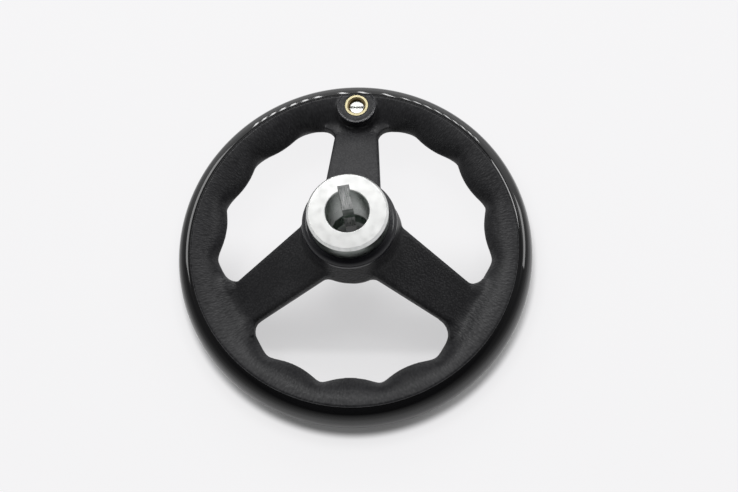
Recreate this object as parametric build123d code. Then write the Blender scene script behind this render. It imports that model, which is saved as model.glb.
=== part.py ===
from build123d import *
from math import cos, degrees, exp, log, pi, radians, sin, sqrt
import os

# Dished machine handwheel, lying with the foot of its rim on the ground. Z is the axis
# of the shaft, z = 0 is the underside of the rim, and +Y runs along the spoke with the
# threaded insert for the handle. Sizes are in millimetres.

# Rim: its outside is turned and polished, and the moulded grip inside keeps its skin
rim_diameter = 200.0
rim_height = 26.0
rim_crown = 19.5
rim_shoulder = 7.2
rim_band = 9.1
rim_foot_width = 15.0
skin_step = 0.25
skin_land = 0.5

# The two mould halves met on this line round each window
mould_line_drop = 10.3
mould_land = 0.8
mould_web = 3.0
window_corner = 9.5

# Finger grips between the spokes: lobes towards the shaft, a valley between each two
grips_per_window = 3
grip_width = 26.0
grip_lobe = 40.0
grip_softness = 1.8
upper_bulge_share = 0.40
upper_bulge_rise = 0.62
lower_bulge_share = 0.46
lower_bulge_drop = 0.50

# Spokes: they climb from the rim to the hub, and widen towards it
spoke_count = 3
spoke_seat_width = 28.5
spoke_width_rim = 25.2
spoke_width_hub = 31.4
spoke_rise = 26.0
spoke_edge_rim = 3.7
spoke_edge_hub = 5.6
spoke_thickness = 10.5
spoke_draft = 0.45
spoke_top_round = 2.0
spoke_foot_round = 1.5

# Steel bush moulded into the hub, with one keyed bore
bush_diameter = 41.1
bush_stand = 13.4
bush_chamfer_width = 1.2
bush_chamfer_depth = 1.8
bush_seat_depth = 7.0
bush_wall = 2.5
bush_hexagon_length = 28.0
bush_spigot_wall = 2.2
bush_foot_stand = 0.5
bore_diameter = 22.0
bore_chamfer = 0.4
key_width = 6.0
key_depth = 2.8
key_angle = 10.0
relief_clearance = 1.2
relief_depth = 33.9
relief_length = 13.0

# Moulded boss round the bush
boss_top_land = 0.65
boss_ring_wall = 4.05
boss_ring_step = 0.4
boss_ring_height = 4.1
boss_cone_height = 18.1
boss_cone_taper = 2.95
boss_base_drop = 24.7
boss_base_taper = 6.55

# Brass insert for the handle's M10 thread, which starts at the foot of the rim
thread_core_diameter = 8.5
thread_chamfer = 0.85
plug_mouth = 0.9
insert_inset = 16.5
insert_wall = 2.45
insert_groove_depth = 0.8
insert_groove_length = 5.0
insert_boss_wall = 4.6
insert_pad_wall = 2.8
insert_pad_z = 0.6

# Slotted plug screw, seated on a step in the upper end of the insert
plug_diameter = 9.0
plug_clearance = 0.05
plug_sink = 2.4
plug_length = 9.0
plug_chamfer = 0.6
plug_slot_width = 1.6
plug_slot_depth = 1.8

sector = 2 * pi / spoke_count
grip_pitch = sector / (grips_per_window + 2)
rim_radius = rim_diameter / 2
grip_crest = rim_radius - grip_width
seam_radius = rim_radius - rim_band
foot_radius = rim_radius - rim_foot_width
spoke_seat = rim_radius - spoke_seat_width
mould_line_z = rim_height - mould_line_drop
skin_top_z = rim_height + skin_step

bush_radius = bush_diameter / 2
bore_radius = bore_diameter / 2
key_reach = bore_radius + key_depth
relief_radius = key_reach + relief_clearance
spigot_radius = key_reach + bush_spigot_wall

boss_ring_radius = bush_radius + boss_ring_wall
boss_foot_radius = boss_ring_radius + boss_cone_taper
boss_base_radius = boss_foot_radius - boss_base_taper

thread_radius = thread_core_diameter / 2
insert_radius = thread_radius + insert_wall
insert_offset = rim_radius - insert_inset
plug_top_z = skin_top_z - plug_sink
plug_foot_z = plug_top_z - plug_length


def spoke_shape(distance):
    """Half-width, top and mould line of a spoke at a distance from the shaft."""
    share = (spoke_seat - distance) / (spoke_seat - boss_base_radius)
    half_width = (spoke_width_rim + share * (spoke_width_hub - spoke_width_rim)) / 2
    edge = spoke_edge_rim + share * (spoke_edge_hub - spoke_edge_rim)
    top = mould_line_z + spoke_edge_rim + share * spoke_rise
    return half_width, top, top - edge


boss_foot_z = spoke_shape(boss_foot_radius)[2]
boss_ring_z = boss_foot_z + boss_cone_height
boss_top_z = boss_ring_z + boss_ring_height
boss_base_z = boss_foot_z - boss_base_drop
bush_top_z = boss_top_z + bush_stand
bush_foot_z = boss_base_z - bush_foot_stand
bush_seat_z = boss_top_z - bush_seat_depth
bush_hexagon_z = bush_seat_z - bush_hexagon_length
relief_z = bush_top_z - relief_depth - relief_length


def lobe_edge(turn):
    """Distance from the shaft to a finger grip's lobe, at a turn from its crest."""
    centre = grip_crest + grip_lobe
    half_chord = grip_lobe**2 - (centre * sin(turn)) ** 2
    if half_chord < 0:
        return rim_radius
    return centre * cos(turn) - sqrt(half_chord)


def inner_edge(turn):
    """Distance from the shaft to the rim's inner edge, at a turn from the first spoke."""
    from_spoke = (turn + sector / 2) % sector - sector / 2
    reaches = [spoke_seat / cos(from_spoke)]
    for side in (-1, 1):
        for index in range(grips_per_window):
            crest = side * (index + 1.5) * grip_pitch
            reaches.append(lobe_edge(from_spoke - crest))
    blend = sum(exp((spoke_seat - reach) / grip_softness) for reach in reaches)
    return spoke_seat - grip_softness * log(blend)


def opening_level(share, z, circle_radius):
    """Face across the rim's opening: share 0 has the scalloped edge, share 1 is round.

    The scallops fade faster than the face widens, so the rim's upper side stays smooth.
    """
    points = []
    count = 8 * spoke_count * (grips_per_window + 2)
    for index in range(count):
        turn = 2 * pi * index / count
        scallop = (inner_edge(turn) - grip_crest) * (1 - share) ** 2
        reach = grip_crest + (circle_radius - grip_crest) * share + scallop
        points.append(Vector(-reach * sin(turn), reach * cos(turn), z))
    return Face(Wire([Edge.make_spline(points, periodic=True)]))


def rim_opening():
    """The space inside the rim, which widens upwards and downwards from the mould line."""
    upper_z = mould_line_z + mould_land / 2
    lower_z = mould_line_z - mould_land / 2
    skin_radius = seam_radius - skin_land
    bulge_z = upper_z + upper_bulge_rise * (skin_top_z - upper_z)
    upper = loft([
        opening_level(0, upper_z, skin_radius),
        opening_level(upper_bulge_share, bulge_z, skin_radius),
        opening_level(1, skin_top_z, skin_radius),
    ])
    lower = loft([
        opening_level(0, lower_z, foot_radius),
        opening_level(lower_bulge_share, lower_z * (1 - lower_bulge_drop), foot_radius),
        opening_level(1, 0, foot_radius),
    ])
    middle = extrude(opening_level(0, lower_z, skin_radius), mould_land)
    return upper, middle, lower


def rim():
    """Ring with the polished band outside and the finger grips inside."""
    middle_z = rim_height / 2
    crown_centre = rim_radius - rim_crown
    offset = rim_crown - rim_shoulder
    shoulder_z = middle_z - rim_shoulder
    shoulder_centre = crown_centre + sqrt(offset**2 - shoulder_z**2)
    join_radius = crown_centre + rim_crown * (shoulder_centre - crown_centre) / offset
    join_z = rim_crown * shoulder_z / offset
    inside = spoke_seat / 2
    with BuildPart() as ring:
        with BuildSketch(Plane.XZ):
            with BuildLine():
                Line((inside, 0), (shoulder_centre, 0))
                RadiusArc((shoulder_centre, 0), (join_radius, middle_z - join_z), -rim_shoulder)
                RadiusArc(
                    (join_radius, middle_z - join_z), (join_radius, middle_z + join_z), -rim_crown
                )
                RadiusArc(
                    (join_radius, middle_z + join_z), (shoulder_centre, rim_height), -rim_shoulder
                )
                Polyline(
                    (shoulder_centre, rim_height),
                    (seam_radius, rim_height),
                    (seam_radius, skin_top_z),
                    (inside, skin_top_z),
                    (inside, 0),
                )
            make_face()
        revolve(axis=Axis.Z)
    body = ring.part
    for space in rim_opening():
        body -= space
    return body


def spoke_section(distance):
    """Six-sided section of a spoke: drafted both ways from the mould line."""
    half, top, mould = spoke_shape(distance)
    foot = top - spoke_thickness
    outline = [
        (half - spoke_draft, top),
        (half, mould),
        (half - 2 * spoke_draft, foot),
        (2 * spoke_draft - half, foot),
        (-half, mould),
        (spoke_draft - half, top),
    ]
    return Face(Wire.make_polygon([Vector(x, distance, z) for x, z in outline]))


def spoke():
    """Spoke from inside the boss to inside the rim, its long edges rounded."""
    inner = boss_base_radius / 2
    outer = (spoke_seat + seam_radius) / 2
    bar = loft([spoke_section(inner), spoke_section(outer)], ruled=True)
    half_length = (outer - inner) / 2

    def long_edges(solid):
        edges = solid.edges().filter_by(lambda edge: abs((edge @ 1 - edge @ 0).Y) > half_length)
        return edges.sort_by(lambda edge: (edge @ 0.5).Z)

    bar = fillet(long_edges(bar)[-2:], spoke_top_round)
    return fillet(long_edges(bar)[:2], spoke_foot_round)


def corner_web():
    """Rounded corner between a spoke's right side and the rim, on the mould line."""
    half = spoke_width_rim / 2
    near = spoke_seat - window_corner
    far = spoke_seat + mould_web
    with BuildPart() as web:
        with BuildSketch(Plane.XY.offset(mould_line_z - mould_web / 2)):
            with BuildLine():
                Polyline(
                    (half, near),
                    (half - mould_web, near),
                    (half - mould_web, far),
                    (half + window_corner, far),
                    (half + window_corner, spoke_seat),
                )
                RadiusArc((half + window_corner, spoke_seat), (half, near), -window_corner)
            make_face()
        extrude(amount=mould_web)
    return web.part


def boss():
    """Moulded boss: a cone drafted from its foot, with a turned ring on top."""
    top_radius = bush_radius + boss_top_land
    round_over = boss_ring_radius - top_radius
    with BuildPart() as solid:
        with BuildSketch(Plane.XZ):
            with BuildLine():
                Polyline(
                    (0, boss_base_z),
                    (boss_base_radius, boss_base_z),
                    (boss_foot_radius, boss_foot_z),
                    (boss_ring_radius - boss_ring_step, boss_ring_z),
                    (boss_ring_radius, boss_ring_z),
                    (boss_ring_radius, boss_top_z - round_over),
                )
                RadiusArc(
                    (boss_ring_radius, boss_top_z - round_over), (top_radius, boss_top_z), -round_over
                )
                Polyline((top_radius, boss_top_z), (0, boss_top_z), (0, boss_base_z))
            make_face()
        revolve(axis=Axis.Z)
    return solid.part.rotate(Axis.Z, degrees(sector) / 4)


def upright(radius, low, high, offset=0.0):
    """Upright cylinder between two heights, on the shaft's axis or out along +Y."""
    solid = Cylinder(radius, high - low, align=(Align.CENTER, Align.CENTER, Align.MIN))
    return Pos(0, offset, low) * solid


def bush_body():
    """Outside of the steel bush: a turned head, a hexagon that can't spin, a spigot."""
    head = upright(bush_radius, bush_seat_z, bush_top_z)
    rim_edge = head.edges().filter_by(GeomType.CIRCLE).sort_by(Axis.Z)[-1]
    top_face = head.faces().sort_by(Axis.Z)[-1]
    head = chamfer(rim_edge, bush_chamfer_width, bush_chamfer_depth, reference=top_face)
    hexagon = RegularPolygon(relief_radius + bush_wall, 6, major_radius=False)
    grip = Pos(0, 0, bush_hexagon_z) * extrude(hexagon, bush_seat_z - bush_hexagon_z)
    return head + grip + upright(spigot_radius, bush_foot_z, bush_hexagon_z)


def hub_bush():
    """Steel bush with its keyed bore, relieved between two lands."""
    bore = upright(bore_radius, bush_foot_z, bush_top_z)
    relief = upright(relief_radius, relief_z, relief_z + relief_length)
    keyway = Pos(0, key_reach / 2, bush_foot_z) * Box(
        key_width,
        key_reach,
        bush_top_z - bush_foot_z,
        align=(Align.CENTER, Align.CENTER, Align.MIN),
    )
    flare = bore_radius + bore_chamfer
    mouth = Cone(bore_radius, flare, bore_chamfer, align=(Align.CENTER, Align.CENTER, Align.MIN))
    upper_mouth = Pos(0, 0, bush_top_z - bore_chamfer) * mouth
    lower_mouth = Pos(0, 0, bush_foot_z + bore_chamfer) * Rot(180, 0, 0) * mouth
    solid = bush_body() - bore - relief - keyway.rotate(Axis.Z, key_angle)
    return solid - upper_mouth - lower_mouth


def insert_body():
    """Outside of the brass insert, with the groove that holds it in the moulding."""
    body = upright(insert_radius, insert_pad_z, skin_top_z, insert_offset)
    groove_z = (insert_pad_z + skin_top_z - insert_groove_length) / 2
    groove = upright(insert_radius, groove_z, groove_z + insert_groove_length, insert_offset)
    core = upright(
        insert_radius - insert_groove_depth, groove_z, groove_z + insert_groove_length, insert_offset
    )
    return body - (groove - core)


def handle_insert():
    """Brass insert: the handle's thread below, and a wider hole for the plug above."""
    plug_hole_radius = plug_diameter / 2 + plug_clearance
    upright_mouth = (Align.CENTER, Align.CENTER, Align.MIN)
    lower_mouth = Cone(thread_radius, thread_radius + thread_chamfer, thread_chamfer, align=upright_mouth)
    upper_mouth = Cone(plug_hole_radius, plug_hole_radius + plug_mouth, plug_mouth, align=upright_mouth)
    solid = insert_body() - upright(thread_radius, insert_pad_z, plug_foot_z, insert_offset)
    solid -= upright(plug_hole_radius, plug_foot_z, skin_top_z, insert_offset)
    solid -= Pos(0, insert_offset, skin_top_z - plug_mouth) * upper_mouth
    return solid - Pos(0, insert_offset, insert_pad_z + thread_chamfer) * Rot(180, 0, 0) * lower_mouth


def plug_screw():
    """Slotted screw that closes the upper end of the insert."""
    body = upright(plug_diameter / 2, plug_foot_z, plug_top_z, insert_offset)
    body = chamfer(body.edges().filter_by(GeomType.CIRCLE).sort_by(Axis.Z)[-1], plug_chamfer)
    slot = Box(
        plug_diameter,
        plug_slot_width,
        plug_slot_depth,
        align=(Align.CENTER, Align.CENTER, Align.MAX),
    )
    return body - Pos(0, insert_offset, plug_top_z) * slot


def wheel_body():
    """The one moulding: rim, spokes, boss and the insert's seat, less what is moulded in."""
    hub = boss()
    webs = []
    for index in range(spoke_count):
        turn = degrees(sector) * index
        hub += spoke().rotate(Axis.Z, turn)
        webs.append(corner_web().rotate(Axis.Z, turn))
        webs.append(corner_web().mirror(Plane.YZ).rotate(Axis.Z, turn))
    body = rim() + hub
    for web in webs:
        body += web
    seat = upright(insert_radius + insert_boss_wall, mould_line_z, skin_top_z, insert_offset)
    body += seat & upright(seam_radius, mould_line_z, skin_top_z)
    pad_radius = insert_radius + insert_pad_wall
    body += upright(pad_radius, insert_pad_z, mould_line_z, insert_offset)
    body -= upright(pad_radius, 0, insert_pad_z, insert_offset) & upright(seam_radius, 0, insert_pad_z)
    return body - bush_body() - insert_body()


os.makedirs("parts", exist_ok=True)
for name, part in (
    ("wheel_body", wheel_body()),
    ("hub_bush", hub_bush()),
    ("handle_insert", handle_insert()),
    ("plug_screw", plug_screw()),
):
    part.label = name
    export_step(part, f"parts/{name}.step")
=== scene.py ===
import math

import bmesh
import bpy
import numpy as np
from mathutils import Matrix, Quaternion, Vector


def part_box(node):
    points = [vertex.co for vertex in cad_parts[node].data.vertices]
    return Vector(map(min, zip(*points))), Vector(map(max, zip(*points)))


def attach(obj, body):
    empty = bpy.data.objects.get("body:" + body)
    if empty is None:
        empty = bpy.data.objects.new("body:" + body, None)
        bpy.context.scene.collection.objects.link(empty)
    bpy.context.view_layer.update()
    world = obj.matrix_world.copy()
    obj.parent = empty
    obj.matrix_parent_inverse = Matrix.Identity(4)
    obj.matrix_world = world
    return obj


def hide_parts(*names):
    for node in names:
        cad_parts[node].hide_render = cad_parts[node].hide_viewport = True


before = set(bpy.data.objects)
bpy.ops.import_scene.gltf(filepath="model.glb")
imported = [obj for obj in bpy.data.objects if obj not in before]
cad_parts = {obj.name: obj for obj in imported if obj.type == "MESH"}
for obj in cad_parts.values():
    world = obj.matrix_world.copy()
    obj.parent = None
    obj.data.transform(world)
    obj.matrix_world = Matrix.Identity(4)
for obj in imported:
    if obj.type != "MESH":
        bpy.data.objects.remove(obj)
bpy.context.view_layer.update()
scene = bpy.context.scene
scene.view_settings.view_transform = "Standard"

# Camera: it looks down on the wheel's machine side, a little from the right and the front,
# and is turned about its own axis as the photograph is.
MM = 0.001
view_azimuth = math.radians(8.62)
view_elevation = math.radians(71.82)
view_roll = math.radians(-7.97)
view_distance = 427.65 * MM
view_target = Vector((8.27, 1.02, 13.0)) * MM
photo_width = 738
focal_pixels = 751.46

view_back = Vector((
    math.sin(view_azimuth) * math.cos(view_elevation),
    -math.cos(view_azimuth) * math.cos(view_elevation),
    math.sin(view_elevation),
))
level_right = Vector((0, 0, 1)).cross(view_back).normalized()
level_up = view_back.cross(level_right)
camera_right = level_right * math.cos(view_roll) + level_up * math.sin(view_roll)
camera_up = level_up * math.cos(view_roll) - level_right * math.sin(view_roll)
camera_data = bpy.data.cameras.new("camera")
camera_data.sensor_width = 36.0
camera_data.lens = focal_pixels * camera_data.sensor_width / photo_width
camera = bpy.data.objects.new("camera", camera_data)
camera.matrix_world = Matrix((
    (camera_right.x, camera_up.x, view_back.x, view_target.x + view_back.x * view_distance),
    (camera_right.y, camera_up.y, view_back.y, view_target.y + view_back.y * view_distance),
    (camera_right.z, camera_up.z, view_back.z, view_target.z + view_back.z * view_distance),
    (0, 0, 0, 1),
))
scene.collection.objects.link(camera)
scene.camera = camera


# Finish of the moulding: black phenolic with the fine leather grain of its mould. On the
# rim the grain is drawn out towards the shaft.
class Shade:
    """One output of a material's nodes: sums and products of it add Math nodes."""

    def __init__(self, tree, socket=None):
        self.tree = tree
        self.socket = socket

    def node(self, kind, inputs, output=0, stops=(), **settings):
        made = self.tree.nodes.new(kind)
        for name, value in settings.items():
            setattr(made, name, value)
        for index, (position, colour) in enumerate(stops):
            if index > 1:
                made.color_ramp.elements.new(position)
            made.color_ramp.elements[index].position = position
            made.color_ramp.elements[index].color = (*colour, 1)
        for name, value in inputs.items():
            if isinstance(value, Shade):
                self.tree.links.new(value.socket, made.inputs[name])
            else:
                made.inputs[name].default_value = value
        return Shade(self.tree, made.outputs[output])

    def maths(self, operation, first, second=0.0):
        return self.node("ShaderNodeMath", {0: first, 1: second}, operation=operation)

    def __add__(self, other):
        return self.maths("ADD", self, other)

    def __radd__(self, other):
        return self.maths("ADD", other, self)

    def __sub__(self, other):
        return self.maths("SUBTRACT", self, other)

    def __rsub__(self, other):
        return self.maths("SUBTRACT", other, self)

    def __mul__(self, other):
        return self.maths("MULTIPLY", self, other)

    def between(self, low, high):
        """0 below low, 1 above high, and smooth from the one to the other."""
        inputs = {"Value": self, "From Min": low, "From Max": high}
        return self.node("ShaderNodeMapRange", inputs, interpolation_type="SMOOTHSTEP")


def new_material(name, colour, **finish):
    """A material with its principled shader, and the start of its node tree."""
    material = bpy.data.materials.new(name)
    material.use_nodes = True
    shader = material.node_tree.nodes["Principled BSDF"]
    shader.inputs["Base Color"].default_value = (*colour, 1)
    for socket, value in finish.items():
        shader.inputs[socket.replace("_", " ")].default_value = value
    return material, shader, Shade(material.node_tree)


def place_of(start, centre=(0, 0, 0)):
    """Object coordinates from a centre: the vector, its parts, and the way from the axis."""
    here = start.node("ShaderNodeTexCoord", {}, output="Object")
    moved = start.node("ShaderNodeVectorMath", {0: here, 1: centre}, operation="SUBTRACT")
    x = start.node("ShaderNodeSeparateXYZ", {0: moved}, output="X")
    y = Shade(start.tree, x.socket.node.outputs["Y"])
    z = Shade(start.tree, x.socket.node.outputs["Z"])
    return moved, x, y, z, start.maths("SQRT", x * x + y * y)


def drive(shader, socket, value):
    shader.id_data.links.new(value.socket, shader.inputs[socket])


moulding_colour = (0.013, 0.013, 0.0145)
moulding_pale = (0.034, 0.034, 0.036)
grain_size = 1.0 * MM
grain_depth = 0.14 * MM
pebble_weight = 1.3
crease_weight = 0.85
crease_stretch = 0.45
grip_radius = 85 * MM
spoke_reach = (69 * MM, 73 * MM)
seat_centre = (0, 83.5 * MM, 0)

grained, grained_shader, start = new_material(
    "grained_duroplast", moulding_colour, Roughness=0.5, Specular_IOR_Level=0.24
)
place, x, y, height, from_axis = place_of(start)
round_rim = start.node("ShaderNodeCombineXYZ", {
    0: start.maths("ARCTAN2", x, y) * grip_radius,
    1: from_axis * crease_stretch,
    2: height * crease_stretch,
})
pebbles = start.node(
    "ShaderNodeTexVoronoi",
    {"Vector": place, "Scale": 1 / grain_size, "Smoothness": 0.6},
    feature="SMOOTH_F1",
)
creases = start.node(
    "ShaderNodeTexVoronoi",
    {"Vector": round_rim, "Scale": 1 / grain_size, "Smoothness": 0.6},
    feature="SMOOTH_F1",
)
on_rim = from_axis.between(*spoke_reach)
grain = 1 - pebbles * (1 - on_rim) * pebble_weight - creases * on_rim * crease_weight
unevenness = start.node(
    "ShaderNodeTexNoise", {"Vector": place, "Scale": 0.3 / grain_size, "Detail": 2.0}
)
drive(grained_shader, "Normal", start.node("ShaderNodeBump", {
    "Height": grain + unevenness * 0.6,
    "Strength": 1.0,
    "Distance": grain_depth,
}))
worn = start.node("ShaderNodeTexNoise", {"Vector": place, "Scale": 55.0, "Detail": 4.0})
# Base colour: a random tone, and paler on the grain's raised pebbles and darker in its pits and
# creases, which is painted shade.
drive(grained_shader, "Base Color", start.node(
    "ShaderNodeValToRGB",
    {"Fac": worn * 0.5 + grain * 0.45},
    stops=((0.35, moulding_colour), (0.75, moulding_pale)),
))
drive(grained_shader, "Roughness", 0.48 - grain * 0.1)


# Finish of the boss's top ring and of the seat round the insert: the same phenolic, faced
# with a turning tool. Its fine rings spread a highlight along the radius.
seat_reach = (68.5 * MM, 69.5 * MM)
facing_pitch = 0.3 * MM
facing_depth = 0.032 * MM

faced, faced_shader, start = new_material(
    "faced_duroplast", (0.009, 0.009, 0.012), Roughness=0.25, Specular_IOR_Level=0.5
)
from_insert_axis = place_of(start, seat_centre)[4]
place, x, y, height, from_axis = place_of(start)
at_seat = y.between(*seat_reach)
turning = start.node(
    "ShaderNodeTexNoise",
    {"W": from_axis * (1 - at_seat) + from_insert_axis * at_seat, "Scale": 1 / facing_pitch},
    noise_dimensions="1D",
)
drive(faced_shader, "Normal", start.node(
    "ShaderNodeBump", {"Height": turning, "Strength": 1.0, "Distance": facing_depth}
))
smears = start.node("ShaderNodeTexNoise", {"Vector": place, "Scale": 160.0, "Detail": 3.0})
drive(faced_shader, "Roughness", 0.16 + smears * 0.14)


# Finish of the band: the same phenolic, turned and polished after moulding, so it has a
# deep gloss and only the faintest marks of the turning.
polished, polished_shader, start = new_material(
    "polished_duroplast", (0.004, 0.004, 0.0045), Roughness=0.05
)
place, x, y, height, from_axis = place_of(start)
rings = start.node(
    "ShaderNodeTexNoise", {"W": from_axis + height, "Scale": 700.0}, noise_dimensions="1D"
)
haze = start.node("ShaderNodeTexNoise", {"Vector": place, "Scale": 30.0, "Detail": 3.0})
drive(polished_shader, "Roughness", 0.025 + haze * 0.02 + rings * 0.015)


# Wheel: one duroplast moulding of rim, three spokes and boss. The grained part of it is
# remeshed from the solid, so that the roots of the spokes can be blended as the mould was,
# and then thinned. A rounded corner is added first where each spoke's side meets the rim.
seam_radius = 90.9 * MM
core_radius = 90.6 * MM
voxel = 0.72 * MM
spoke_count = 3
blend_rounds = 110
blend_step = 0.6
blend_refresh = 8
rim_root_start = (64 * MM, 70 * MM)
rim_root_end = (80 * MM, 86 * MM)
rim_root_side = (18 * MM, 24 * MM)
hub_root_start = (22.5 * MM, 24.5 * MM)
hub_root_end = (32 * MM, 40 * MM)
hub_root_side = (19 * MM, 24 * MM)
hub_root_top = (49 * MM, 53 * MM)
insert_clear = (11.5 * MM, 13.5 * MM)
even_rounds = 2
even_in = 0.5
even_out = 0.52
thinned_to = 0.4
spoke_half = 12.6 * MM
spoke_end = 71.5 * MM
root_radius = 6.5 * MM
root_overlap = 3.0 * MM
root_foot = 14.2 * MM
root_top = 20.2 * MM
root_steps = 8


def applied(made):
    """Puts the modifiers of an object into its mesh, and gives that mesh."""
    seen_as = made.evaluated_get(bpy.context.evaluated_depsgraph_get())
    made.data = bpy.data.meshes.new_from_object(seen_as)
    made.modifiers.clear()
    return made.data


core = bmesh.new()
core.from_mesh(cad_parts["wheel_body"].data)
bmesh.ops.remove_doubles(core, verts=core.verts, dist=1e-6)
moulding_mesh = bpy.data.meshes.new("wheel_moulding")
core.to_mesh(moulding_mesh)
core.free()
moulding = bpy.data.objects.new("wheel_moulding", moulding_mesh)
scene.collection.objects.link(moulding)

disc = bmesh.new()
bmesh.ops.create_cone(
    disc, cap_ends=True, segments=360, radius1=core_radius, radius2=core_radius, depth=200 * MM
)
disc_mesh = bpy.data.meshes.new("inside_of_band")
disc.to_mesh(disc_mesh)
disc.free()
inside_of_band = bpy.data.objects.new("inside_of_band", disc_mesh)
scene.collection.objects.link(inside_of_band)

cut = moulding.modifiers.new("cut", "BOOLEAN")
cut.operation = "INTERSECT"
cut.object = inside_of_band
shaped = applied(moulding)
bpy.data.objects.remove(inside_of_band)

filled = bmesh.new()
filled.from_mesh(shaped)
for index in range(spoke_count):
    turn = Matrix.Rotation(2 * math.pi / spoke_count * index, 4, "Z")
    for side in (-1, 1):
        outline = [(spoke_half - root_overlap, spoke_end + root_overlap)]
        outline.append((spoke_half - root_overlap, spoke_end - root_radius))
        for step in range(root_steps + 1):
            angle = math.pi / 2 * step / root_steps
            outline.append((
                spoke_half + root_radius * (1 - math.cos(angle)),
                spoke_end - root_radius * (1 - math.sin(angle)),
            ))
        outline.append((spoke_half + root_radius, spoke_end + root_overlap))
        corners = []
        for across, along in outline:
            corners.append(filled.verts.new((side * across, along, root_foot)))
        face = filled.faces.new(corners)
        grown = bmesh.ops.extrude_face_region(filled, geom=[face], use_keep_orig=True)
        top = [item for item in grown["geom"] if isinstance(item, bmesh.types.BMVert)]
        bmesh.ops.translate(filled, vec=(0, 0, root_top - root_foot), verts=top)
        bmesh.ops.transform(filled, matrix=turn, verts=corners + top)
bmesh.ops.recalc_face_normals(filled, faces=filled.faces)
filled.to_mesh(shaped)
filled.free()
remesh = moulding.modifiers.new("remesh", "REMESH")
remesh.mode = "VOXEL"
remesh.voxel_size = voxel
shaped = applied(moulding)

points = np.empty(len(shaped.vertices) * 3)
shaped.vertices.foreach_get("co", points)
points = points.reshape(-1, 3)
edges = np.empty(len(shaped.edges) * 2, dtype=int)
shaped.edges.foreach_get("vertices", edges)
edges = edges.reshape(-1, 2)
ends = np.concatenate([edges[:, 0], edges[:, 1]])
others = np.concatenate([edges[:, 1], edges[:, 0]])
valence = np.bincount(ends, minlength=len(points)).astype(float)


def pull(points):
    """Way from each vertex to the middle of its neighbours."""
    total = [np.bincount(ends, points[others, axis], len(points)) for axis in range(3)]
    return np.stack(total, axis=1) / valence[:, None] - points


def fade(value, low, high):
    """0 below low, 1 above high, and smooth from the one to the other."""
    share = np.clip((value - low) / (high - low), 0, 1)
    return share * share * (3 - 2 * share)


def normals_of(points):
    """Moves the mesh's vertices to these points, and gives their normals."""
    shaped.vertices.foreach_set("co", points.ravel())
    shaped.update()
    found = np.empty(len(points) * 3, dtype=np.float32)
    shaped.vertices.foreach_get("normal", found)
    return found.reshape(-1, 3).astype(float)


blend = np.zeros(len(points))
from_shaft = np.hypot(points[:, 0], points[:, 1])
from_insert = np.hypot(points[:, 0], points[:, 1] - seat_centre[1])
for index in range(spoke_count):
    turn = math.radians(90 + 360 / spoke_count * index)
    along = points[:, 0] * math.cos(turn) + points[:, 1] * math.sin(turn)
    across = np.abs(points[:, 1] * math.cos(turn) - points[:, 0] * math.sin(turn))
    at_rim = fade(along, *rim_root_start) * (1 - fade(along, *rim_root_end))
    at_rim = at_rim * (1 - fade(across, *rim_root_side))
    at_hub = fade(from_shaft, *hub_root_start) * (1 - fade(along, *hub_root_end))
    at_hub = at_hub * (1 - fade(across, *hub_root_side)) * (along > 0)
    at_hub = at_hub * (1 - fade(points[:, 2], *hub_root_top))
    blend = np.maximum(blend, np.maximum(at_rim, at_hub))
blend = blend * fade(from_insert, *insert_clear)
for step in range(blend_rounds):
    if step % blend_refresh == 0:
        normals = normals_of(points)
    way = pull(points)
    rise = np.maximum((way * normals).sum(axis=1), 0)
    points = points + blend_step * (blend * rise)[:, None] * normals
for step in range(even_rounds):
    points = points + even_in * pull(points)
    points = points - even_out * pull(points)
normals_of(points)
thin = moulding.modifiers.new("thin", "DECIMATE")
thin.ratio = thinned_to
shaped = applied(moulding)
shaped.polygons.foreach_set("use_smooth", np.ones(len(shaped.polygons), dtype=bool))


def dress(mesh, finish):
    """Gives a mesh the three finishes of the moulding, and every face the same one."""
    mesh.materials.clear()
    for material in (grained, polished, faced):
        mesh.materials.append(material)
    mesh.polygons.foreach_set("material_index", [finish] * len(mesh.polygons))


GRAINED, POLISHED, FACED = range(3)
dress(shaped, GRAINED)

# Band: the turned and polished outside of the same moulding. Its ring carries the sharp
# edge of the grained skin too, which the turning left, and is joined to the rest.
rim_height = 26.0 * MM
crown_radius = 19.5 * MM
shoulder_radius = 7.2 * MM
rim_radius = 100.0 * MM
band_inset = 1.0 * MM
skin_step = 0.25 * MM
skin_round = 0.12 * MM
tool_groove = 0.12 * MM
band_segments = 480
sharp_angle = math.radians(28)

crown_centre = rim_radius - crown_radius
offset = crown_radius - shoulder_radius
shoulder_z = rim_height / 2 - shoulder_radius
shoulder_centre = crown_centre + math.sqrt(offset**2 - shoulder_z**2)
join_angle = math.atan2(shoulder_z, shoulder_centre - crown_centre)
profile = [
    (seam_radius - band_inset, rim_height - band_inset),
    (seam_radius - 0.55 * band_inset, rim_height + skin_step - skin_round / 2),
    (seam_radius, rim_height + skin_step),
    (seam_radius, rim_height - tool_groove),
    (seam_radius + tool_groove, rim_height),
]
skin_corners = len(profile) - 2
shoulder_steps = 14
crown_steps = 16
for step in range(shoulder_steps):
    angle = math.pi / 2 - (math.pi / 2 - join_angle) * step / shoulder_steps
    profile.append((
        shoulder_centre + shoulder_radius * math.cos(angle),
        rim_height / 2 + shoulder_z + shoulder_radius * math.sin(angle),
    ))
for step in range(crown_steps + 1):
    angle = join_angle - 2 * join_angle * step / crown_steps
    profile.append((
        crown_centre + crown_radius * math.cos(angle),
        rim_height / 2 + crown_radius * math.sin(angle),
    ))
shoulder = profile[skin_corners + 2:skin_corners + 2 + shoulder_steps]
profile += [(radius, rim_height - z) for radius, z in reversed(shoulder)]
profile.append((seam_radius - band_inset, band_inset))


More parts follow.
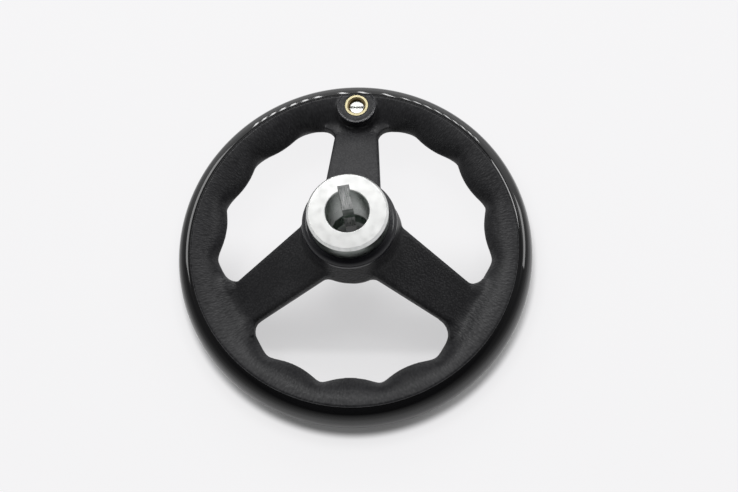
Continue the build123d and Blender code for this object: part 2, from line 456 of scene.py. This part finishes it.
def turned(name, outline, segments):
    """A closed outline (distance from the axis, height) turned round the Z axis."""
    mesh = bmesh.new()
    corners = [mesh.verts.new((radius, 0, z)) for radius, z in outline]
    loop = [mesh.edges.new(pair) for pair in zip(corners, corners[1:] + corners[:1])]
    bmesh.ops.spin(
        mesh, geom=corners + loop, cent=(0, 0, 0), axis=(0, 0, 1),
        angle=2 * math.pi, steps=segments, use_merge=True,
    )
    bmesh.ops.remove_doubles(mesh, verts=mesh.verts, dist=1e-7)
    bmesh.ops.recalc_face_normals(mesh, faces=mesh.faces)
    made = bpy.data.meshes.new(name)
    mesh.to_mesh(made)
    mesh.free()
    made.polygons.foreach_set("use_smooth", [True] * len(made.polygons))
    made.set_sharp_from_angle(angle=sharp_angle)
    return made


band_mesh = turned("rim_band", profile, band_segments)
dress(band_mesh, POLISHED)
for face in band_mesh.polygons:
    inside_seam = math.hypot(*face.center.xy) < seam_radius - skin_round / 2
    if inside_seam and face.center.z > rim_height:
        face.material_index = GRAINED
band = bpy.data.objects.new("rim_band", band_mesh)
scene.collection.objects.link(band)

# Faced parts of the same moulding: the ring on top of the boss, and the seat round the
# insert, whose outer side is cut off by the turned band.
bush_low, bush_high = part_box("hub_bush")
bush_radius = bush_high.x
bush_stand = 13.4 * MM
boss_ring_height = 4.1 * MM
boss_ring_wall = 4.05 * MM
boss_ring_lap = 1.2 * MM
boss_ring_bevel = 0.4 * MM
boss_round = 3.4 * MM
cap_proud = 0.06 * MM
overlap = 0.5 * MM
arc_steps = 8
hub_segments = 192
insert_segments = 96
boss_top = bush_high.z - bush_stand
boss_ring_foot = boss_top - boss_ring_height
boss_ring_radius = bush_radius + boss_ring_wall

boss_outline = [
    (bush_radius - overlap, boss_ring_foot - MM),
    (boss_ring_radius - boss_ring_lap, boss_ring_foot - MM),
    (boss_ring_radius - boss_ring_bevel, boss_ring_foot + cap_proud),
    (boss_ring_radius + cap_proud, boss_ring_foot + cap_proud),
]
for step in range(arc_steps + 1):
    angle = math.pi / 2 * step / arc_steps
    boss_outline.append((
        boss_ring_radius - boss_round + (boss_round + cap_proud) * math.cos(angle),
        boss_top - boss_round + (boss_round + cap_proud) * math.sin(angle),
    ))
boss_outline.append((bush_radius - overlap, boss_top + cap_proud))
boss_mesh = turned("boss_ring", boss_outline, hub_segments)
dress(boss_mesh, FACED)
boss_ring = bpy.data.objects.new("boss_ring", boss_mesh)
scene.collection.objects.link(boss_ring)

seat_radius = 11.35 * MM
seat_stand = 0.1 * MM
seat_thickness = 2 * MM
seat_edge = 0.3 * MM
insert_edge = 6.6 * MM
seat_dish = 0.4 * MM
seat_sharp_angle = math.radians(20)
seat_top = rim_height + skin_step + seat_stand
seat_outline = [
    (insert_edge, seat_top - seat_thickness),
    (seat_radius + cap_proud, seat_top - seat_thickness),
    (seat_radius + cap_proud, seat_top - seat_edge),
    (seat_radius - seat_edge * 0.3, seat_top - seat_edge * 0.3),
    (seat_radius - seat_edge, seat_top),
    (insert_edge + seat_edge, seat_top - seat_dish),
    (insert_edge, seat_top - seat_dish),
]
seat_mesh = turned("insert_seat", seat_outline, insert_segments)
seat_mesh.transform(Matrix.Translation(seat_centre))
dress(seat_mesh, FACED)
seat = bpy.data.objects.new("insert_seat", seat_mesh)
scene.collection.objects.link(seat)
bound = bmesh.new()
bmesh.ops.create_cone(
    bound, cap_ends=True, segments=360, radius1=seam_radius, radius2=seam_radius, depth=100 * MM
)
bound_mesh = bpy.data.meshes.new("band_bound")
bound.to_mesh(bound_mesh)
bound.free()
band_bound = bpy.data.objects.new("band_bound", bound_mesh)
scene.collection.objects.link(band_bound)
trim = seat.modifiers.new("trim", "BOOLEAN")
trim.operation = "INTERSECT"
trim.object = band_bound
applied(seat)
seat.data.set_sharp_from_angle(angle=seat_sharp_angle)
bpy.data.objects.remove(band_bound)

parts = [moulding, band, boss_ring, seat]
with bpy.context.temp_override(active_object=moulding, selected_editable_objects=parts):
    bpy.ops.object.join()
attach(moulding, "root")
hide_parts("wheel_body")

# Bush: turned steel with a thin zinc coat, moulded into the hub. Its bore has two lands
# with a wider relief between them, and a keyway broached through both.
bush_top = bush_high.z
bush_foot = bush_low.z
bush_chamfer_width = 1.2 * MM
bush_chamfer_depth = 1.8 * MM
bore_radius = 11.0 * MM
bore_flare = 0.4 * MM
relief_depth = 33.9 * MM
relief_length = 13.0 * MM
relief_radius = 15.0 * MM
relief_top = bush_top - relief_depth
relief_foot = relief_top - relief_length
spigot_radius = 16.0 * MM
grip_foot = 23.95 * MM
grip_top = bush_top - 20 * MM
grip_inset = 1.0 * MM
key_width = 6.0 * MM
key_depth = 2.8 * MM
key_turn = math.radians(10)
key_reach = bore_radius + key_depth
cutter_height = 100 * MM
edge_round = 0.15 * MM
round_angle = math.radians(35)
bush_sharp_angle = math.radians(10)
zinc_dark = (0.28, 0.32, 0.295)
zinc_pale = (0.92, 0.925, 0.915)

zinc, zinc_shader, start = new_material(
    "zinc_steel", (0.66, 0.68, 0.66), Roughness=0.3, Metallic=1.0
)
place, x, y, height, from_axis = place_of(start)
face = height.between(bush_top - 0.3 * MM, bush_top - 0.1 * MM)
outside = from_axis.between(bore_radius + 0.3 * MM, bore_radius + 0.6 * MM)
head = height.between(bush_top - bush_chamfer_depth - 0.3 * MM, bush_top - bush_chamfer_depth)
head = head * outside
along_key = y * math.cos(key_turn) - x * math.sin(key_turn)
across_key = x * math.cos(key_turn) + y * math.sin(key_turn)
off_middle = start.maths("ABSOLUTE", across_key)
key_floor = along_key.between(key_reach - 0.3 * MM, key_reach - 0.1 * MM) * (1 - face)
key_floor = key_floor * (1 - along_key.between(key_reach + 0.2 * MM, key_reach + 0.4 * MM))
key_floor = key_floor * (1 - off_middle.between(key_width / 2 + 0.1 * MM, key_width / 2 + 0.2 * MM))
tool_marks = start.node(
    "ShaderNodeTexNoise", {"W": from_axis, "Scale": 3500.0, "Detail": 2.0}, noise_dimensions="1D"
)
mottle = start.node("ShaderNodeTexNoise", {"Vector": place, "Scale": 260.0, "Detail": 5.0})
broach_way = start.node("ShaderNodeCombineXYZ", {0: across_key, 1: 0.0, 2: height * 0.06})
scratches = start.node("ShaderNodeTexNoise", {"Vector": broach_way, "Scale": 1300.0, "Detail": 3.0})
drive(zinc_shader, "Normal", start.node("ShaderNodeBump", {
    "Height": tool_marks * face + mottle * 0.3 + scratches * key_floor * 4.0,
    "Strength": 0.6,
    "Distance": 0.01 * MM,
}))
drive(zinc_shader, "Roughness", 0.2 + mottle * 0.2 + face * 0.12)
# Painted highlight: the face, its chamfer and the bore's lands are paler. The mottle is the coat's
# random tone, and the keyway floor's pale streaks are its broaching scratches.
paleness = mottle * (0.5 - face * 0.4) + head * 0.45 + face * 0.3 + (1 - outside) * 0.2
paleness = paleness + key_floor * (scratches * 2.2 - 0.7)
drive(zinc_shader, "Base Color", start.node(
    "ShaderNodeValToRGB", {"Fac": paleness}, stops=((0.2, zinc_dark), (0.8, zinc_pale))
))

bush_outline = [
    (bore_radius, bush_foot + bore_flare),
    (bore_radius + bore_flare, bush_foot),
    (spigot_radius, bush_foot),
    (spigot_radius, grip_foot),
    (bush_radius - grip_inset, grip_foot),
    (bush_radius - grip_inset, grip_top),
    (bush_radius, grip_top),
    (bush_radius, bush_top - bush_chamfer_depth),
    (bush_radius - bush_chamfer_width, bush_top),
    (bore_radius + bore_flare, bush_top),
    (bore_radius, bush_top - bore_flare),
    (bore_radius, relief_top),
    (relief_radius, relief_top),
    (relief_radius, relief_foot),
    (bore_radius, relief_foot),
]
bush_mesh = turned("hub_bush_turned", bush_outline, hub_segments)
bush = bpy.data.objects.new("hub_bush_turned", bush_mesh)
scene.collection.objects.link(bush)
cutter = bmesh.new()
bmesh.ops.create_cube(cutter, size=1.0)
bmesh.ops.scale(cutter, vec=(key_width, key_reach, cutter_height), verts=cutter.verts)
bmesh.ops.translate(cutter, vec=(0, key_reach / 2, bush_top / 2), verts=cutter.verts)
bmesh.ops.rotate(
    cutter, cent=(0, 0, 0), matrix=Matrix.Rotation(key_turn, 3, "Z"), verts=cutter.verts
)
cutter_mesh = bpy.data.meshes.new("key_cutter")
cutter.to_mesh(cutter_mesh)
cutter.free()
key_cutter = bpy.data.objects.new("key_cutter", cutter_mesh)
scene.collection.objects.link(key_cutter)
broach = bush.modifiers.new("broach", "BOOLEAN")
broach.operation = "DIFFERENCE"
broach.object = key_cutter
soften = bush.modifiers.new("soften", "BEVEL")
soften.width = edge_round
soften.segments = 2
soften.limit_method = "ANGLE"
soften.angle_limit = round_angle
cut_mesh = applied(bush)
bpy.data.objects.remove(key_cutter)
cut_mesh.polygons.foreach_set("use_smooth", [True] * len(cut_mesh.polygons))
cut_mesh.set_sharp_from_angle(angle=bush_sharp_angle)
cut_mesh.materials.append(zinc)
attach(bush, "root")
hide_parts("hub_bush")

# Insert: turned brass, moulded into the rim over the spoke with the handle's thread.
insert_low, insert_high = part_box("handle_insert")
insert_radius = (insert_high.x - insert_low.x) / 2
insert_top = insert_high.z
insert_foot = insert_low.z
thread_radius = 4.25 * MM
thread_chamfer = 0.85 * MM
plug_hole = 4.55 * MM
plug_mouth = 0.9 * MM
plug_foot = 14.85 * MM
brass_tarnished = (0.30, 0.225, 0.11)
brass_turned = (0.5, 0.45, 0.28)

brass, brass_shader, start = new_material(
    "dull_brass", (0.5, 0.45, 0.3), Roughness=0.34, Metallic=1.0
)
place, x, y, height, from_axis = place_of(start, seat_centre)
marks = start.node("ShaderNodeTexNoise", {"W": from_axis, "Scale": 3000.0}, noise_dimensions="1D")
tarnish = start.node("ShaderNodeTexNoise", {"Vector": place, "Scale": 500.0, "Detail": 4.0})
top_ring = height.between(insert_top - 0.25 * MM, insert_top - 0.05 * MM)
drive(brass_shader, "Base Color", start.node(
    "ShaderNodeValToRGB",
    {"Fac": top_ring * 0.85 + tarnish * 0.15},
    stops=((0.0, brass_tarnished), (1.0, brass_turned)),
))
drive(brass_shader, "Roughness", 0.25 + tarnish * 0.25)
drive(brass_shader, "Normal", start.node(
    "ShaderNodeBump", {"Height": marks, "Strength": 0.5, "Distance": 0.01 * MM}
))
insert_outline = [
    (thread_radius + thread_chamfer, insert_foot),
    (insert_radius, insert_foot),
    (insert_radius, insert_top),
    (plug_hole + plug_mouth, insert_top),
    (plug_hole, insert_top - plug_mouth),
    (plug_hole, plug_foot),
    (thread_radius, plug_foot),
    (thread_radius, insert_foot + thread_chamfer),
]
insert_mesh = turned("handle_insert_turned", insert_outline, insert_segments)
insert_mesh.transform(Matrix.Translation(seat_centre))
insert_mesh.materials.append(brass)
insert = bpy.data.objects.new("handle_insert_turned", insert_mesh)
scene.collection.objects.link(insert)
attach(insert, "root")
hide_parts("handle_insert")

# Plug screw: bright zinc-plated steel, its slot seen in the mouth of the insert.
plug_steel, plug_shader, start = new_material(
    "bright_zinc", (0.8, 0.81, 0.8), Roughness=0.35, Metallic=1.0
)
place, x, y, height, from_axis = place_of(start, seat_centre)
scuffs = start.node("ShaderNodeTexNoise", {"Vector": place, "Scale": 900.0, "Detail": 4.0})
drive(plug_shader, "Roughness", 0.28 + scuffs * 0.2)
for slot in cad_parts["plug_screw"].material_slots:
    slot.material = plug_steel

# Floor: a pale table that the eye and the mirroring metal see bright with a painted glow, which
# fades
#  round the rim and in the front window, where the wheel's soft shadow shows, partly real and
#  partly painted shade, and a painted shadow under the hub.
floor_colour = (0.88, 0.88, 0.885)
shown_colour = (0.92, 0.915, 0.925)
hub_shade_colour = (0.12, 0.12, 0.12)
hub_shade = (0, 10 * MM, 0)
table_glow = 0.94
window_dimming = 0.22
front_dimming = 0.14
contact_dimming = 0.78
halo_dimming = 0.12
mirrored_dimming = 0.6
floor_size = 3.0

floor_material, floor_shader, start = new_material("pale_table", floor_colour, Roughness=0.8)
from_hub = place_of(start, hub_shade)[4]
place, x, y, height, from_axis = place_of(start)
# Painted shadow under the hub: the table's colour turns dark near it.
drive(floor_shader, "Base Color", start.node(
    "ShaderNodeValToRGB",
    {"Fac": from_hub.between(10 * MM, 22 * MM)},
    stops=((0.0, hub_shade_colour), (1.0, floor_colour)),
))
light_path = start.node("ShaderNodeLightPath", {}, output="Is Camera Ray")
mirrored = Shade(start.tree, light_path.socket.node.outputs["Is Glossy Ray"])
through = Shade(start.tree, light_path.socket.node.outputs["Is Transmission Ray"])
mirrored = mirrored * (1 - from_axis.between(40 * MM, 80 * MM) * mirrored_dimming)
seen = start.maths("MAXIMUM", start.maths("MAXIMUM", light_path, mirrored), through)
# Painted shade: the glow fades in the windows, along a soft painted shadow edge in the front
# window, and in a painted contact shadow and halo round the rim, so that the table's real shading
# shows through there.
near_window = (1 - from_axis.between(88 * MM, 92 * MM)) * (1 - y.between(-30 * MM, 15 * MM))
window_shade = near_window * (window_dimming + y.between(-61 * MM, -54 * MM) * front_dimming)
outside_rim = from_axis.between(85 * MM, 95 * MM)
contact = outside_rim * (1 - from_axis.between(101 * MM, 106 * MM)) * contact_dimming
halo = outside_rim * (1 - from_axis.between(103 * MM, 113 * MM)) * halo_dimming
bright = from_hub.between(9.5 * MM, 18 * MM) * (table_glow - window_shade - contact - halo)
glow = start.node("ShaderNodeEmission", {"Color": (*shown_colour, 1), "Strength": 1.0})
mixed = start.node(
    "ShaderNodeMixShader",
    {0: seen * bright, 1: Shade(start.tree, floor_shader.outputs[0]), 2: glow},
)
start.tree.links.new(mixed.socket, start.tree.nodes["Material Output"].inputs["Surface"])
floor_mesh = bmesh.new()
bmesh.ops.create_grid(floor_mesh, x_segments=1, y_segments=1, size=floor_size)
table = bpy.data.meshes.new("table")
floor_mesh.to_mesh(table)
floor_mesh.free()
table.materials.append(floor_material)
floor = bpy.data.objects.new("table", table)
scene.collection.objects.link(floor)

# Room: dim walls, brighter towards the floor and behind the wheel, and darker overhead on
# the camera's side. The eye sees it in the table's colour.
hood_middle = (0, -0.34, 0.94)
hood_dimming = 0.8
wall_light = 0.17
low_wall_light = 0.4
front_wall_share = 0.08
back_wall_light = 1.15
shown_strength = 0.92

world = bpy.data.worlds.new("room")
scene.world = world
world.use_nodes = True
start = Shade(world.node_tree)
sky = start.node("ShaderNodeTexCoord", {}, output="Generated")
side = start.node("ShaderNodeSeparateXYZ", {0: sky}, output="X")
behind = Shade(world.node_tree, side.socket.node.outputs["Y"])
up = Shade(world.node_tree, side.socket.node.outputs["Z"])
hood = start.node(
    "ShaderNodeVectorMath", {0: sky, 1: hood_middle}, operation="DOT_PRODUCT", output="Value"
)
seen = start.node("ShaderNodeLightPath", {}, output="Is Camera Ray")
back_wall = (behind + up * 0.5).between(0.4, 1.05) * (1 - up.between(0.79, 0.86) * 0.9)
low_walls = (1 - up.between(0, 0.75)) * (low_wall_light - behind * front_wall_share)
walls = wall_light + low_walls + back_wall * back_wall_light
strength = walls * (1 - hood.between(0.78, 0.92) * hood_dimming)
backdrop = world.node_tree.nodes["Background"]
backdrop.inputs["Color"].default_value = (1, 1, 1, 1)
shown = strength * (1 - seen) + seen * shown_strength
world.node_tree.links.new(shown.socket, backdrop.inputs["Strength"])


# Lamps: three soft tubes, which the polished band mirrors as streaks, and a row of narrow
# strips behind the wheel, which it mirrors as dashes.
def lamp(name, place, aim, width, depth, radiance, roll=0):
    """A rectangular soft lamp at a place, facing its aim and turned about that line."""
    data = bpy.data.lights.new(name, "AREA")
    data.shape = "RECTANGLE"
    data.size = width
    data.size_y = depth
    data.energy = radiance * math.pi * width * depth
    made = bpy.data.objects.new(name, data)
    made.location = place
    facing = (Vector(aim) - Vector(place)).to_track_quat("-Z", "Y")
    made.rotation_euler = (facing @ Quaternion((0, 0, 1), math.radians(roll))).to_euler()
    made.visible_camera = False
    scene.collection.objects.link(made)


lamp("left_tube", (-0.58, 0.38, 0.72), (-0.09, 0, 0.02), 0.45, 0.28, 4.5, 20)
lamp("right_tube", (0.667, 0.279, 0.484), (0.09, 0, 0.02), 0.31, 0.24, 4.8, -26)
lamp("high_tube", (0.277, 0.415, 0.914), (0.09, 0, 0.026), 0.16, 0.08, 10.0, -25)

strip_x = [-321, -290, -259, -228, -197, -166, -134, -75, -30, 28]
strip_x += [73, 103, 133, 164, 196, 227, 258, 290, 325]
strip_y = 0.55
strip_z = 0.52
strip_aim = (0, 0.09, 0.02)
strip_width = 0.013
strip_radiance = 18.0
short_from = 60
for index, x in enumerate(strip_x):
    length = 0.19 if x < short_from else 0.1
    place = (x * MM, strip_y, strip_z)
    lamp(f"strip_{index:02d}", place, strip_aim, strip_width, length, strip_radiance)
